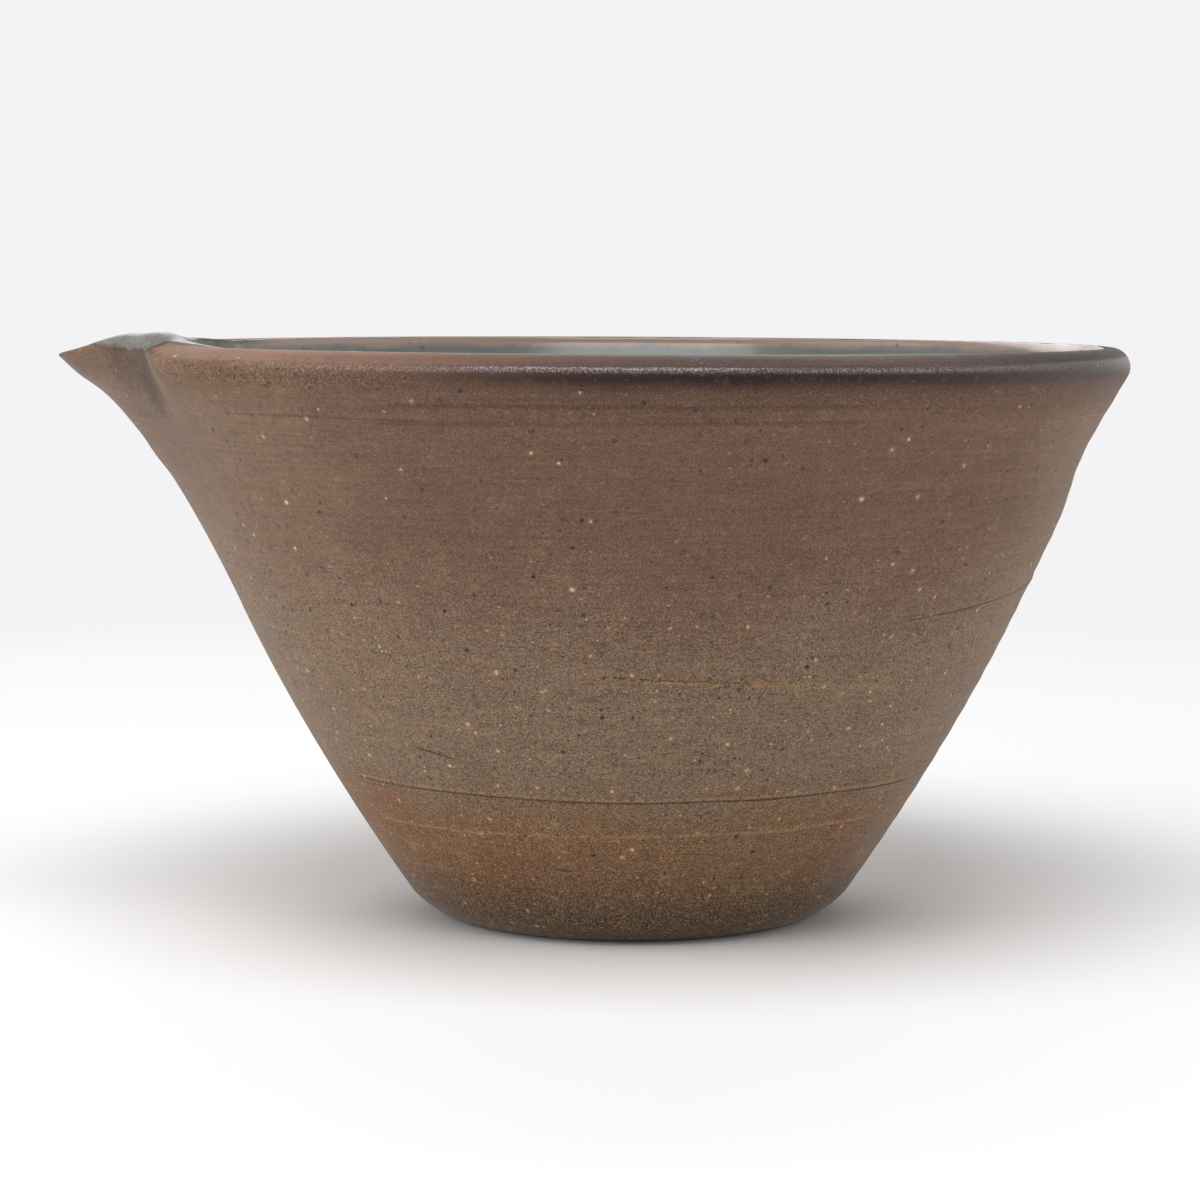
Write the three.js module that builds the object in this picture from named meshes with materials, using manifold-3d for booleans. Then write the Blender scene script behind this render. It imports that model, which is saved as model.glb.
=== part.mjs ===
// A wheel-thrown stoneware pouring bowl: a conical body with a rolled rim, a spout luted into
// the rim with slip, and a coat of glass-like glaze over the whole inside and the spout's lip.
// Millimetres, +Z up. The origin is the middle of the flat base, and the spout points along -X.

import * as THREE from "three";
import { mergeVertices } from "three/addons/utils/BufferGeometryUtils.js";
import Module from "manifold-3d";

// Thrown bowl
const rimRadius = 90; // axis to the outermost line of the rolled rim
const bowlHeight = 103.5; // base to the crest of the rim
const rimRollRadius = 3.4; // the rim is a roll of clay of this radius
const flareLean = 0.56; // radius gained per height just under the rim
const shoulderInset = 10.5; // rim radius less the radius where the wall stands steepest
const shoulderDrop = 24.5; // from the crest down to that place
const shoulderLean = 0.34; // radius gained per height there
const heelLean = 0.7; // radius gained per height just above the base
const heelRadius = 40.1; // where the wall begins above the rounded heel
const heelHeight = 4.3; // height of the rounded heel
const baseRadius = 32; // flat face that the bowl stands on
const wallThickness = 5.6; // at the shoulder
const heelThickness = 7; // at the foot of the wall
const floorThickness = 7.5; // clay under the middle of the bowl
const floorFilletReach = 14; // how far the hollow between wall and floor runs in

// Spout
const spoutReach = 14.2; // how far its tip is pulled out beyond the round rim
const spoutDepth = 45.5; // from the crest down to where the wall begins to swell
const swellPower = 1.8; // how the swell gathers towards the rim
const throatHalfAngle = 27; // degrees either side of the spout's middle, low in the wall
const lipHalfAngle = 20; // the same at the rim
const tipRounding = 0.2; // share of that angle over which the spout's nose is round
const flankPower = 1.8; // above 1, the flanks run hollow from the nose into the wall
const lipRadius = 1.2; // the lip's edge is this thin a roll
const lipStartAngle = 16; // the edge is thin up to here
const rimStartAngle = 21; // the rim's full roll begins here
const lipDepth = 10; // from the crest down to where the lip's rise or fall begins
const tipDrop = 2.6; // tip of the lip below the rim's crest
const cornerRise = 1.1; // the two corners of the throat above the rim's crest
const cornerAngle = 16; // where those corners stand
const levelAngle = 33; // where the rim is level again
const markDepth = 0.9; // finger mark beside the spout, under the rim
const markAngle = 21;
const markWidth = 3;
const markDrop = 8.5; // from the crest down to the middle of the mark
const markHeight = 4;

// Slip joint that holds the spout in the bowl
const jointHalfWidth = 31; // half the width of the cut in the rim
const jointShoulderDrop = 11; // straight stretch of the cut, from the crest down
const jointFootDrop = 45; // from the crest down to the lowest point of the cut
const slipWidth = 0.8;

// Glaze
const glazeThickness = 0.7;
const glazeLineAngle = 30; // degrees round the rim's roll, from its crest to the glaze's edge
const glazeOverrun = 62; // the same at the spout, where the glaze has run over the lip

const seatGap = 0.3; // between touching pieces

// How finely the round shapes are divided
const fineHalfAngle = 36;
const fineColumns = 28;
const coarseColumns = 48;
const wallSteps = 7;
const flareSteps = 4;
const rollSteps = 8;
const heelSteps = 3;
const filletSteps = 4;

const { clamp, degToRad, radToDeg, smoothstep, lerp } = THREE.MathUtils;
const point = (radius, height) => new THREE.Vector2(radius, height);

// Curve from one point to another that leaves and arrives with the given leans.
function leaningCurve(from, leanFrom, to, leanTo) {
  const handle = (to.y - from.y) / 3;
  return new THREE.CubicBezierCurve(
    from,
    point(from.x + handle * leanFrom, from.y + handle),
    point(to.x - handle * leanTo, to.y - handle),
    to,
  );
}

// The same curve moved inwards through the clay, by a thickness that changes along it.
function movedInwards(curve, steps, thicknessFrom, thicknessTo) {
  return Array.from({ length: steps + 1 }, (_, i) => {
    const t = i / steps;
    const along = curve.getTangent(t);
    const thickness = lerp(thicknessFrom, thicknessTo, t);
    const p = curve.getPoint(t);
    return point(p.x - thickness * along.y, p.y + thickness * along.x);
  });
}

// Profile of the bowl before the spout is pulled, with a roll of some radius at its top, as
// stations from the middle of the base, up the outside, over the roll and down to the middle of
// the floor. Each has its depth through the wall, from 0 on the outside to 1 on the inside.
function thrownProfile(rollRadius) {
  const rollCentre = point(rimRadius - rollRadius, bowlHeight - rollRadius);
  const leanAngle = Math.atan(flareLean);
  const onRoll = (angle) =>
    point(
      rollCentre.x + rollRadius * Math.cos(angle),
      rollCentre.y + rollRadius * Math.sin(angle),
    );
  const shoulder = point(rimRadius - shoulderInset, bowlHeight - shoulderDrop);
  const heel = point(heelRadius, heelHeight);
  const wall = leaningCurve(heel, heelLean, shoulder, shoulderLean);
  const flare = leaningCurve(shoulder, shoulderLean, onRoll(-leanAngle), flareLean);
  const heelRound = new THREE.QuadraticBezierCurve(
    point(baseRadius, 0),
    point((baseRadius + heelRadius) / 2, 0),
    heel,
  );

  const outside = [
    point(0, 0),
    ...heelRound.getPoints(heelSteps),
    ...wall.getPoints(wallSteps).slice(1),
    ...flare.getPoints(flareSteps).slice(1, -1),
  ];
  const roll = Array.from({ length: rollSteps + 1 }, (_, i) =>
    onRoll(-leanAngle + (Math.PI * i) / rollSteps),
  );
  const insideFlare = movedInwards(flare, flareSteps, wallThickness, 2 * rollRadius);
  const insideWall = movedInwards(wall, wallSteps, heelThickness, wallThickness);
  const hollowStart = insideWall.findIndex((p) => p.y > floorThickness + heelThickness);
  const toe = insideWall[hollowStart];
  const next = insideWall[hollowStart + 1];
  const toeLean = (next.x - toe.x) / (next.y - toe.y);
  const corner = point(toe.x - toeLean * (toe.y - floorThickness), floorThickness);
  const leastFloor = corner.x / 4;
  const floorRadius = Math.max(corner.x - floorFilletReach, leastFloor);
  const hollow = new THREE.QuadraticBezierCurve(toe, corner, point(floorRadius, floorThickness));
  const inside = [
    ...insideFlare.slice(1, -1).reverse(),
    ...insideWall.slice(hollowStart + 1).reverse(),
    ...hollow.getPoints(filletSteps),
    point(0, floorThickness),
  ];

  return [
    ...outside.map((p) => ({ at: p, depth: 0 })),
    ...roll.map((p, i) => ({ at: p, depth: i / rollSteps })),
    ...inside.map((p) => ({ at: p, depth: 1 })),
  ];
}

// 1 on the spout's middle line, falling to 0 at the edge, with a round top.
function spoutBell(angle, halfAngle) {
  const share = Math.min(Math.abs(angle) / halfAngle, 1);
  const rounded = (x) => Math.hypot(x, tipRounding) - tipRounding;
  return Math.pow(1 - rounded(share) / rounded(1), flankPower);
}

// How far the crest stands above or below its level, at an angle from the spout's middle.
function crestRise(angle) {
  const away = Math.abs(angle);
  const corner = cornerRise * (1 - smoothstep(away, cornerAngle, levelAngle));
  const dip = (cornerRise + tipDrop) * (1 - smoothstep(away, 0, cornerAngle));
  return corner - dip;
}

// Where a station of the profile lies at an angle from the spout, once the spout is pulled.
function pulled(station, angle) {
  const away = Math.abs(angle);
  const rolled = smoothstep(away, lipStartAngle, rimStartAngle);
  const at = lipProfile[station].at.clone().lerp(rimProfile[station].at, rolled);
  const depth = rimProfile[station].depth;
  const climb = clamp((at.y - bowlHeight + spoutDepth) / spoutDepth, 0, 1);
  const halfAngle = lerp(throatHalfAngle, lipHalfAngle, climb);
  const swell = spoutReach * Math.pow(climb, swellPower) * spoutBell(angle, halfAngle);
  const fromMark = (away - markAngle) / markWidth;
  const upMark = (at.y - bowlHeight + markDrop) / markHeight;
  const mark = markDepth * (1 - depth) * Math.exp(-fromMark * fromMark - upMark * upMark);
  const rise = crestRise(angle) * smoothstep(at.y, bowlHeight - lipDepth, bowlHeight);
  return point(at.x + swell - mark, at.y + rise);
}

// Angles of the mesh's columns from the spout's middle, closer together round the spout.
function columnAngles() {
  const fineStep = (2 * fineHalfAngle) / fineColumns;
  const coarseStep = (360 - 2 * fineHalfAngle) / coarseColumns;
  const fine = Array.from({ length: fineColumns }, (_, i) => i * fineStep - fineHalfAngle);
  const coarse = Array.from({ length: coarseColumns }, (_, i) => i * coarseStep + fineHalfAngle);
  return [...fine, ...coarse];
}

// Closed solid through one section for each column. A section begins and ends on the axis. The
// faces are split alike on both sides of the spout, so the bowl is its own mirror image.
function solidThrough(sectionAt) {
  const angles = columnAngles();
  const sections = angles.map((angle) => sectionAt(angle > 180 ? angle - 360 : angle));
  const rows = sections[0].length;
  const position = [];
  sections.forEach((section, column) => {
    const turn = Math.PI + degToRad(angles[column]);
    for (const p of section) {
      position.push(p.x * Math.cos(turn), p.x * Math.sin(turn), p.y);
    }
  });
  const index = [];
  const vertex = (column, row) => (column % angles.length) * rows + row;
  const addFace = (...corners) => {
    const poles = corners.filter((corner) => corner % rows === 0 || corner % rows === rows - 1);
    if (poles.length < 2) index.push(...corners);
  };
  for (let column = 0; column < angles.length; column++) {
    const firstHalf = angles[column] >= 0 && angles[column] < 180;
    for (let row = 0; row + 1 < rows; row++) {
      const [a, b] = [vertex(column, row), vertex(column + 1, row)];
      const [c, d] = [vertex(column + 1, row + 1), vertex(column, row + 1)];
      if (firstHalf) {
        addFace(a, b, c);
        addFace(a, c, d);
      } else {
        addFace(a, b, d);
        addFace(b, c, d);
      }
    }
  }
  const geometry = new THREE.BufferGeometry();
  geometry.setAttribute("position", new THREE.Float32BufferAttribute(position, 3));
  geometry.setIndex(index);
  return geometry;
}

const rimProfile = thrownProfile(rimRollRadius);
const lipProfile = thrownProfile(lipRadius);
const claySection = (angle) => rimProfile.map((_, station) => pulled(station, angle));

// A place along the clay of one section, counted in stations from the middle of the floor.
function onClay(angle, place) {
  const last = rimProfile.length - 1;
  const before = Math.min(Math.floor(place), last - 1);
  const next = pulled(last - before - 1, angle);
  return pulled(last - before, angle).lerp(next, place - before);
}

// Section of the glaze: along the clay from the middle of the floor to the glaze's edge on the
// rim's roll, and back again on the side that faces the air.
function glazeSection(angle) {
  const rollStart = rimProfile.filter((station) => station.depth === 1).length - 1;
  const onSpout = 1 - smoothstep(Math.abs(angle), cornerAngle, levelAngle);
  const edgeAngle = lerp(90 + glazeLineAngle, 90 - glazeOverrun, onSpout);
  const rollEndAngle = 180 - radToDeg(Math.atan(flareLean));
  const edge = rollStart + ((rollEndAngle - edgeAngle) / 180) * rollSteps;
  const rollRows = rollSteps - 1;
  const steps = rollStart + rollRows;

  // The clay also leans from one section to the next, so the step off it is lengthened to
  // keep the glaze's true thickness.
  const lifted = (step, distance) => {
    const onRoll = Math.max(step - rollStart, 0) / rollRows;
    const place = Math.min(step, rollStart) + onRoll * (edge - rollStart);
    const here = onClay(angle, place);
    if (step === 0) return point(0, here.y + distance);
    const halfStep = 0.5;
    const behind = onClay(angle, place - halfStep);
    const along = onClay(angle, Math.min(place + halfStep, edge)).sub(behind).normalize();
    const away = point(-along.y, along.x);
    const turn = 0.5;
    const change = onClay(angle + turn, place).sub(onClay(angle - turn, place));
    const lean = change.dot(away) / (2 * degToRad(turn) * here.x);
    return here.addScaledVector(away, distance * Math.hypot(1, lean));
  };
  const stepNumbers = Array.from({ length: steps + 1 }, (_, i) => i);
  const claySide = stepNumbers.map((step) => lifted(step, seatGap));
  const airSide = stepNumbers.map((step) => lifted(step, seatGap + glazeThickness));
  return [...claySide, ...airSide.reverse()];
}

const wasm = await Module();
wasm.setup();

function toManifold(geometry) {
  const bare = geometry.clone();
  bare.deleteAttribute("normal");
  bare.deleteAttribute("uv");
  const merged = mergeVertices(bare, 1e-4);
  return new wasm.Manifold(
    new wasm.Mesh({
      numProp: 3,
      vertProperties: merged.getAttribute("position").array,
      triVerts: new Uint32Array(merged.getIndex().array),
    }),
  );
}

function toGeometry(solid) {
  const mesh = solid.getMesh();
  const geometry = new THREE.BufferGeometry();
  geometry.setAttribute("position", new THREE.Float32BufferAttribute(mesh.vertProperties, 3));
  geometry.setIndex(new THREE.BufferAttribute(mesh.triVerts, 1));
  const flat = geometry.toNonIndexed();
  flat.computeVertexNormals();
  return flat;
}

// Block through the spout's side of the bowl, shaped as the cut that takes the spout: straight
// sides at the rim and a half-ellipse below. It is grown all round by a margin.
function jointBlock(margin) {
  const halfWidth = jointHalfWidth + margin;
  const shoulder = bowlHeight - jointShoulderDrop;
  const fall = jointFootDrop - jointShoulderDrop + margin;
  const excess = 4 * rimRollRadius;
  const clearOfRim = bowlHeight + excess;
  const clearOfLip = rimRadius + spoutReach + excess;
  const outline = new THREE.Shape();
  outline.moveTo(halfWidth, clearOfRim);
  outline.lineTo(-halfWidth, clearOfRim);
  outline.lineTo(-halfWidth, shoulder);
  outline.absellipse(0, shoulder, halfWidth, fall, Math.PI, 2 * Math.PI);
  outline.closePath();
  const block = new THREE.ExtrudeGeometry(outline, {
    depth: clearOfLip,
    bevelEnabled: false,
    curveSegments: 24,
  });
  const acrossUpAlong = new THREE.Matrix4().makeBasis(
    new THREE.Vector3(0, 1, 0),
    new THREE.Vector3(0, 0, 1),
    new THREE.Vector3(1, 0, 0),
  );
  return toManifold(block.translate(0, 0, -clearOfLip).applyMatrix4(acrossUpAlong));
}

const clay = toManifold(solidThrough(claySection));
const spoutClay = clay.intersect(jointBlock(0));
const slipClay = clay.intersect(jointBlock(seatGap + slipWidth)).subtract(jointBlock(seatGap));
const bodyClay = clay.subtract(jointBlock(2 * seatGap + slipWidth));

const stoneware = new THREE.MeshStandardMaterial({ color: 0x6f5b4b, roughness: 0.85, metalness: 0 });
const flashedClay = new THREE.MeshStandardMaterial({ color: 0x7d6454, roughness: 0.8, metalness: 0 });
const driedSlip = new THREE.MeshStandardMaterial({ color: 0x5f4c3f, roughness: 0.9, metalness: 0 });
const ashGlaze = new THREE.MeshStandardMaterial({ color: 0x858b86, roughness: 0.15, metalness: 0 });

function named(name, geometry, material) {
  const mesh = new THREE.Mesh(geometry, material);
  mesh.name = name;
  return mesh;
}

const bowl = new THREE.Group();
bowl.add(named("bowl_body", toGeometry(bodyClay), stoneware));
bowl.add(named("pouring_spout", toGeometry(spoutClay), flashedClay));
bowl.add(named("luting_slip", toGeometry(slipClay), driedSlip));
bowl.add(named("glaze_lining", solidThrough(glazeSection), ashGlaze));

export default bowl;
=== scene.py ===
"""A wheel-thrown stoneware pouring bowl on a pale table, in soft studio light.

Shapes are worked out in millimetres and made in metres, +Z up. Angles round the bowl are in
degrees from the middle of the spout, which points along -X, and grow towards the front, -Y.
"""

import math

import bmesh
import bpy
import numpy as np
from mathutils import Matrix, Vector


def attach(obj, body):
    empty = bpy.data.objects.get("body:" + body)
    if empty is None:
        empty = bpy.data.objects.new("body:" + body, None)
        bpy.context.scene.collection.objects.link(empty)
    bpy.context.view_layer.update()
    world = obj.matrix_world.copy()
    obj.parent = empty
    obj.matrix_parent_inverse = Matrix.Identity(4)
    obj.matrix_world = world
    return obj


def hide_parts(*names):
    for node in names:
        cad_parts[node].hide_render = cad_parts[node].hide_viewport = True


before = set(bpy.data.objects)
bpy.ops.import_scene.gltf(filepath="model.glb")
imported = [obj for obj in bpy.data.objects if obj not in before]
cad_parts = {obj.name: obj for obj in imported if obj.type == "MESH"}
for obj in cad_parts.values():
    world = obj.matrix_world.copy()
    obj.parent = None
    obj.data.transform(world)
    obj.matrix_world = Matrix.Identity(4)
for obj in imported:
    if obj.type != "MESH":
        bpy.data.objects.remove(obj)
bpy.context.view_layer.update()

# Bowl body: a cone of dark, gritty stoneware thrown on the wheel and left bare outside. The wall
# flares out under a rim that is folded over and bevelled, and a U is cut out for the spout. Grit
# dragged round by the turning tool has left grooves, and the fire has scorched the rim.
rim_radius = 90.0
bowl_height = 103.5
rim_roll = 3.4
flare_lean = 0.56
shoulder = np.array([79.5, 79.0])
shoulder_lean = 0.34
heel = np.array([40.1, 4.3])
heel_lean = 0.7
base_radius = 32.0
shoulder_thickness = 5.6
heel_thickness = 7.0
floor_height = 7.5
hollow_height = 18.0
hollow_reach = 14.0
bevel_nose = np.array([89.97, 100.5])
bevel_edge = np.array([88.75, 102.15])
rim_crest = np.array([85.0, 103.5])
lip_roll = 1.2
tip_roll = 0.35
spout_reach = 13.9
spout_depth = 45.5
throat_half_angle = 31.0
lip_half_angle = 20.0
tip_rounding = 0.2
swell_power = 1.8
swell_softness = 0.13
lip_angle = 16.0
roll_start = 19.5
roll_end = 24.5
tip_drop = 2.4
corner_rise = 1.1
near_rise = 1.5
level_angle = 33.0
far_level_angle = 19.0
rise_reach = 10.0
joint_half_width = 31.0
joint_shoulder = 92.5
joint_fall = 34.0
seam = 0.7
slip_width = 0.7
body_edge = seam + slip_width
rim_tilt = math.radians(0.275)
groove_height = 28.0
groove_depth = 0.14
groove_half_width = 0.22
ring_depth = 0.05
ring_spacing = 4.6
keel_humps = ((0.95, 98.3, 3.2), (0.35, 94.5, 2.6), (0.3, 89.5, 3.5), (0.45, 83.5, 2.8))
flat_depth = 0.15
shoulder_fullness = 0.65
burr_height = 0.3
corner_bump = 0.7
crest = 5.0


def smoothstep(x, low, high):
    """0 below low, 1 above high, and 3t^2 - 2t^3 between them, t being the share of the way."""
    t = np.clip((x - low) / (high - low), 0, 1)
    return t * t * (3 - 2 * t)


def hump(x, middle, half_width):
    """Gaussian bell: e to the power of minus the square of the distance over the half width."""
    return np.exp(-(((x - middle) / half_width) ** 2))


def bezier(*controls, steps=160):
    """Bezier curve: the sum of its n + 1 controls, number k weighted by
    binomial(n, k) t^k (1 - t)^(n - k), at even steps of t from 0 to 1."""
    degree = len(controls) - 1
    t = np.linspace(0, 1, steps + 1)[:, None]
    power = np.arange(degree + 1)
    binomial = np.array([math.comb(degree, k) for k in power])
    return (binomial * t**power * (1 - t) ** (degree - power)) @ np.array(controls, float)


def leaning(start, start_lean, end, end_lean):
    """Cubic Bezier between two points (radius, height) that leans outwards by the given radius
    per height at its ends. Its handles climb a third of the way each."""
    climb = (end[1] - start[1]) / 3
    out = start + climb * np.array([start_lean, 1])
    back = end - climb * np.array([end_lean, 1])
    return bezier(start, out, back, end)


def moved_inwards(curve, first_thickness, last_thickness):
    """The curve moved sideways into the bowl, by a thickness that changes evenly along it."""
    along = np.gradient(curve, axis=0)
    along /= np.linalg.norm(along, axis=1, keepdims=True)
    thickness = np.linspace(first_thickness, last_thickness, len(curve))[:, None]
    return curve + thickness * np.column_stack([-along[:, 1], along[:, 0]])


def section(roll, round_over):
    """Section of the clay as ten legs: base, heel, wall, flare, rim to its crest, crest to the
    inside, inside of the flare, inside of the wall, hollow and floor. Returns the leg number with
    the share of the leg, and the points (radius, height)."""
    lean = math.atan(flare_lean)
    centre = np.array([rim_radius - roll, bowl_height - roll])
    aside = roll * np.array([math.cos(lean), -math.sin(lean)])
    flare_top, inner_top = centre + aside, centre - aside
    wall = leaning(heel, heel_lean, shoulder, shoulder_lean)
    flare = leaning(shoulder, shoulder_lean, flare_top, flare_lean)
    to_crest, to_inside = round_over(centre, flare_top, inner_top)
    inner_flare = moved_inwards(flare, shoulder_thickness, 2 * roll)[::-1]
    inner_wall = moved_inwards(wall, heel_thickness, shoulder_thickness)[::-1]
    inner_wall = inner_wall[inner_wall[:, 1] > hollow_height]
    toe, before = inner_wall[-1], inner_wall[-2]
    foot = toe + (toe - before) * (floor_height - toe[1]) / (toe[1] - before[1])
    floor_edge = foot - np.array([hollow_reach, 0])
    base_edge = np.array([base_radius, 0])
    legs = [
        bezier(np.zeros(2), base_edge),
        bezier(base_edge, np.array([(base_radius + heel[0]) / 2, 0]), heel),
        wall,
        flare,
        to_crest,
        to_inside,
        inner_flare,
        inner_wall,
        bezier(toe, foot, floor_edge),
        bezier(floor_edge, np.array([0, floor_height])),
    ]
    shares = [index + np.linspace(0, 1, len(leg)) for index, leg in enumerate(legs)]
    place = np.concatenate(shares)
    return place + np.arange(len(place)) * 1e-9, np.concatenate(legs)


def bevelled_rim(centre, flare_top, inner_top):
    """Rim with a blunt nose, a tight corner and a bevel that slopes up to a crest near its inner
    side, from four Bezier curves that meet without a kink."""
    up, flare_way = np.array([0, 1]), np.array([flare_lean, 1])
    bevel_way = np.array([-0.83, 0.55])
    face = bezier(flare_top, flare_top + 0.4 * flare_way, bevel_nose - 0.5 * up, bevel_nose)
    corner = bezier(bevel_nose, bevel_nose + 0.8 * up, bevel_edge - bevel_way, bevel_edge)
    top = bezier(bevel_edge, bevel_edge + 1.5 * bevel_way, rim_crest + [1.5, 0], rim_crest)
    inner = bezier(rim_crest, rim_crest - [1.1, 0], inner_top + 0.9 * flare_way, inner_top)
    return np.concatenate([face, corner[1:], top[1:]]), inner


def round_edge(centre, flare_top, inner_top):
    """Round edge: two arcs about one centre, up to the crest and down to the inside."""

    def arc(first, last):
        turn = np.radians(np.linspace(first, last, 481))
        roll = np.linalg.norm(flare_top - centre)
        return centre + roll * np.column_stack([np.cos(turn), np.sin(turn)])

    lean = math.degrees(math.atan(flare_lean))
    return arc(-lean, 90), arc(90, 180 - lean)


rim_section = section(rim_roll, bevelled_rim)
sections = (
    section(tip_roll, round_edge),
    section(lip_roll, round_edge),
    rim_section,
    section(rim_roll, round_edge),
)


def bell(away, half_angle):
    """1 on the spout's middle line and 0 past its edge: v to the power 1.8, where v is 1 - h(share)
    / h(1) and h(x) is the hypotenuse of x and the tip's rounding, less that rounding. Half the sum
    of v and the hypotenuse of v and the softness takes the place of v, so the edge leaves no
    crease."""

    def rounded(x):
        return np.hypot(x, tip_rounding) - tip_rounding

    def softened(v):
        return (v + np.hypot(v, swell_softness)) / 2

    fall = 1 - rounded(away / half_angle) / rounded(1)
    return (softened(fall) / softened(1.0)) ** swell_power


def clay_place(leg, angle):
    """Place of the clay's skin (x, y, z in mm) at a leg of its section and an angle.

    The section changes from a knife edge at the tip to the thin lip, the bevelled rim and, far
    from the spout, the round rim. The spout adds a swell to the radius, which grows with height
    to the power 1.8 and falls off sideways as the bell above. The crest dips at the tip and rises
    at both corners of the throat. A keel under the spout, throwing rings (a sine of height), the
    tool's groove, a burr where a drag line ends and a fuller shoulder opposite the spout change
    the radius, and the whole rim is a quarter of a degree out of level."""
    leg, angle = np.broadcast_arrays(leg, angle)
    away = np.abs((angle + 180) % 360 - 180)
    near_rim = smoothstep(leg, 3.8, 4) * (1 - smoothstep(leg, 6, 6.6))
    shares = (
        smoothstep(away, 1, 12),
        smoothstep(away, 8 + (roll_start - 8) * near_rim, 32 + (roll_end - 32) * near_rim),
        smoothstep(away, 125, 170),
    )
    place, points = sections[0]
    radius, height = np.interp(leg, place, points[:, 0]), np.interp(leg, place, points[:, 1])
    for (place, points), share in zip(sections[1:], shares):
        radius = radius + (np.interp(leg, place, points[:, 0]) - radius) * share
        height = height + (np.interp(leg, place, points[:, 1]) - height) * share

    outside = 1 - smoothstep(leg, 4, 6)
    below_rim = outside * (1 - smoothstep(leg, 3.85, 4))
    climb = np.clip((height - bowl_height + spout_depth) / spout_depth, 0, 1)
    half_angle = throat_half_angle + (lip_half_angle - throat_half_angle) * climb
    swell = spout_reach * climb**swell_power * bell(away, half_angle)
    keel = sum(size * hump(height, middle, reach) for size, middle, reach in keel_humps)
    keel = keel * (1 - smoothstep(away, 8, 24))
    on_wall = smoothstep(leg, 2, 2.1)
    flat = -flat_depth * outside * on_wall * hump(height, 32, 20)
    full = shoulder_fullness * hump(height, 74, 8) * smoothstep(away, 120, 175)
    turning = np.radians(angle)
    wave = np.sin(2 * np.pi * height / ring_spacing + 0.9 * np.sin(turning) + np.sin(height / 9))
    rings = ring_depth * wave * on_wall * (below_rim + smoothstep(leg, 6.1, 7))
    rings = rings * smoothstep(away, 20, 40) * (1 - smoothstep(leg, 7.9, 8))
    cut_to = smoothstep(angle, 27, 33) * (1 - smoothstep(angle, 290, 310))
    groove = hump(height, groove_height - 0.3 * np.cos(turning / 2), groove_half_width)
    groove = -groove_depth * groove * cut_to * outside * on_wall
    burr = burr_height * hump(angle, 169, 3) * hump(height, 62.1, 0.7) * outside
    radius = radius + swell + keel + flat + full + rings + groove + burr

    near = smoothstep((angle + 180) % 360 - 180, -8, 8)
    near_corner = near_rise * (1 - smoothstep(away, lip_angle, level_angle))
    near_corner = near_corner + corner_bump * hump(away, 21.8, 2.3)
    far_corner = corner_rise * (1 - smoothstep(away, lip_angle - 2, far_level_angle))
    corner = far_corner + (near_corner - far_corner) * near
    dip = (corner_rise + tip_drop) * (1 - smoothstep(away, 0, lip_angle))
    height = height + (corner - dip) * smoothstep(height, bowl_height - rise_reach, bowl_height)
    turn = np.radians(180 + angle)
    x, y = radius * np.cos(turn), radius * np.sin(turn)
    height = height - math.tan(rim_tilt) * x * (np.clip(height, 0, None) / bowl_height) ** 2
    return np.stack([x, y, height], axis=-1)


def joint_angle(leg, margin):
    """Angle at which the edge of the cut for the spout, grown by a margin, crosses the section.
    The cut is straight-sided near the rim and a half-ellipse below."""
    place, points = rim_section
    drop = (joint_shoulder - np.interp(leg, place, points[:, 1])) / (joint_fall + margin)
    half_width = (joint_half_width + margin) * np.sqrt(1 - np.clip(drop, 0, 1) ** 2)
    angle = np.zeros_like(half_width)
    for _ in range(8):
        at = clay_place(leg, angle)
        angle = np.degrees(np.arcsin(half_width / np.hypot(at[..., 0], at[..., 1])))
    return angle


def leg_at(height, first_leg, last_leg):
    """Leg of the rim's section, between two legs, at which it has a height."""
    place, points = rim_section
    part = (place >= first_leg) & (place <= last_leg)
    order = np.argsort(points[part, 1])
    return np.interp(height, points[part, 1][order], place[part][order])


def cut_rows():
    """Legs of the rows beside the cut, from its foot to the rim's crest, on the outside and on the
    inside. The second row is the foot of the spout itself."""
    feet = [joint_shoulder - joint_fall - margin for margin in (body_edge, seam)]
    rows = []
    for first, last, rim in ((2, 4, 4), (6, 8, 6)):
        low, foot = (leg_at(height, first, last) for height in feet)
        climb = foot + (rim - foot) * np.linspace(0, 1, 46) ** 1.3
        rows.append(np.concatenate([[low], climb, np.linspace(rim, crest, 29)[1:]]))
    return rows


def cut_face(margin, side, first=0):
    """Face of the cut through the wall, as a strip of points from its outer to its inner edge,
    and the legs of those points."""
    legs = [rows[first:] for rows in (outside_legs, inside_legs)]
    edges = [clay_place(rows, side * joint_angle(rows, margin)) for rows in legs]
    return np.stack(edges, axis=1), np.stack(legs, axis=1)


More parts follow.
